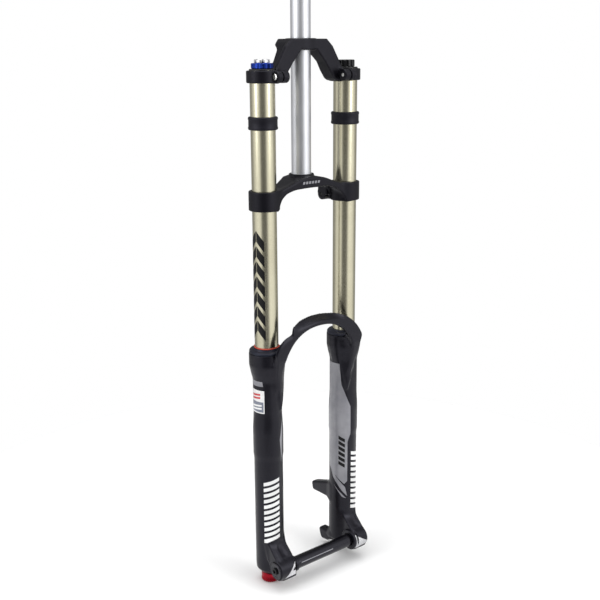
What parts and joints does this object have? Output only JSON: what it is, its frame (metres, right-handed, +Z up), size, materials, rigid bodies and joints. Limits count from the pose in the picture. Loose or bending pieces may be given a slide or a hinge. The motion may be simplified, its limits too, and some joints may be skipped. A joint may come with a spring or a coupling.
{
  "type": "bicycle suspension fork",
  "caption": "Dual-crown telescopic bicycle suspension fork with gold stanchions, black crowns and lower legs, a bridge arch, disc-brake posts and a through axle.",
  "frame": {"origin": "on the steerer axis, at the crown race seat on top of the lower crown", "axes": "+Z up along the steerer, -Y forward, +X towards the rider's left, where the brake posts are"},
  "size_m": [0.2032, 0.112, 0.8974],
  "materials": {
    "crown_black": "satin anodised black",
    "steerer_silver": "brushed",
    "stanchion_gold": "polished champagne anodising",
    "rubber_black": "matte",
    "bolt_silver": "bright",
    "bolt_black": "black oxide",
    "cap_black": "gloss anodised black",
    "knob_blue": "gloss anodised blue",
    "knob_silver": "polished",
    "knob_red": "anodised red",
    "lowers_black": "satin paint with grey graphic blocks",
    "ring_red": "matte",
    "foam_grey": "open-cell foam",
    "bushing_bronze": "satin",
    "inner_aluminium": "machined",
    "inner_plastic": "moulded",
    "spring_steel": "wound wire",
    "axle_black": "gloss anodised black",
    "expander_black": "black oxide"
  },
  "bodies": {
    "uppers": {"steerer_tube": "steerer_silver", "lower_crown": "crown_black", "upper_crown": "crown_black", "stanchion_right": "stanchion_gold", "stanchion_left": "stanchion_gold", "frame_bumper_right": "rubber_black", "frame_bumper_left": "rubber_black", "lower_crown_pinch_bolts": "bolt_black", "upper_crown_pinch_bolts": "bolt_silver", "steerer_clamp_bolt": "bolt_black", "damper_top_cap": "cap_black", "compression_damper": "inner_aluminium", "damper_seal_head": "inner_aluminium", "spring_top_cap": "cap_black", "preload_spacer": "inner_plastic", "coil_spring": "spring_steel", "spring_base_plate": "inner_plastic", "stanchion_retaining_rings": "spring_steel"},
    "lowers": {"lower_legs": "lowers_black", "wiper_seal_right": "rubber_black", "wiper_seal_left": "rubber_black", "foam_ring_right": "foam_grey", "foam_ring_left": "foam_grey", "upper_bushing_right": "bushing_bronze", "upper_bushing_left": "bushing_bronze", "lower_bushing_right": "bushing_bronze", "lower_bushing_left": "bushing_bronze", "rebound_shaft": "inner_aluminium", "rebound_piston": "inner_aluminium", "spring_shaft": "inner_aluminium", "spring_plunger": "inner_plastic", "top_out_bumpers": "rubber_black", "bottom_out_bumpers": "rubber_black", "foot_bolt_right": "bolt_black", "foot_bolt_left": "bolt_black", "crush_washers": "inner_aluminium", "travel_o_ring": "ring_red"},
    "high_speed_knob": {"high_speed_compression_knob": "knob_blue"},
    "low_speed_knob": {"low_speed_compression_knob": "knob_silver"},
    "rebound_adjuster": {"rebound_knob": "knob_red", "rebound_adjuster_rod": "inner_aluminium"},
    "axle": {"through_axle": "axle_black"},
    "axle_expander": {"axle_expander_bolt": "expander_black"}
  },
  "joints": [
    {"name": "lowers_slide", "type": "slide", "parent": "uppers", "child": "lowers", "axis": [0, 0, 1], "range_m": [0, 0.2], "stiffness_N_per_m": 5000, "springref_m": -0.005, "deforming": ["coil_spring"]},
    {"name": "high_speed_knob_turn", "type": "hinge", "parent": "uppers", "child": "high_speed_knob", "pos_m": [-0.075, -0.01, 0.1556], "axis": [0, 0, 1], "range_deg": [0, 270]},
    {"name": "low_speed_knob_turn", "type": "hinge", "parent": "uppers", "child": "low_speed_knob", "pos_m": [-0.075, -0.01, 0.1619], "axis": [0, 0, 1], "range_deg": [0, 330]},
    {"name": "rebound_knob_turn", "type": "hinge", "parent": "lowers", "child": "rebound_adjuster", "pos_m": [-0.075, -0.01, -0.626], "axis": [0, 0, 1], "range_deg": [0, 330]},
    {"name": "axle_withdraw", "type": "slide", "parent": "lowers", "child": "axle", "axis": [-1, 0, 0], "range_m": [0, 0.185]},
    {"name": "axle_expander_turn", "type": "hinge", "parent": "axle", "child": "axle_expander", "pos_m": [-0.0936, -0.048, -0.596], "axis": [1, 0, 0], "range_deg": [0, 180]}
  ]
}
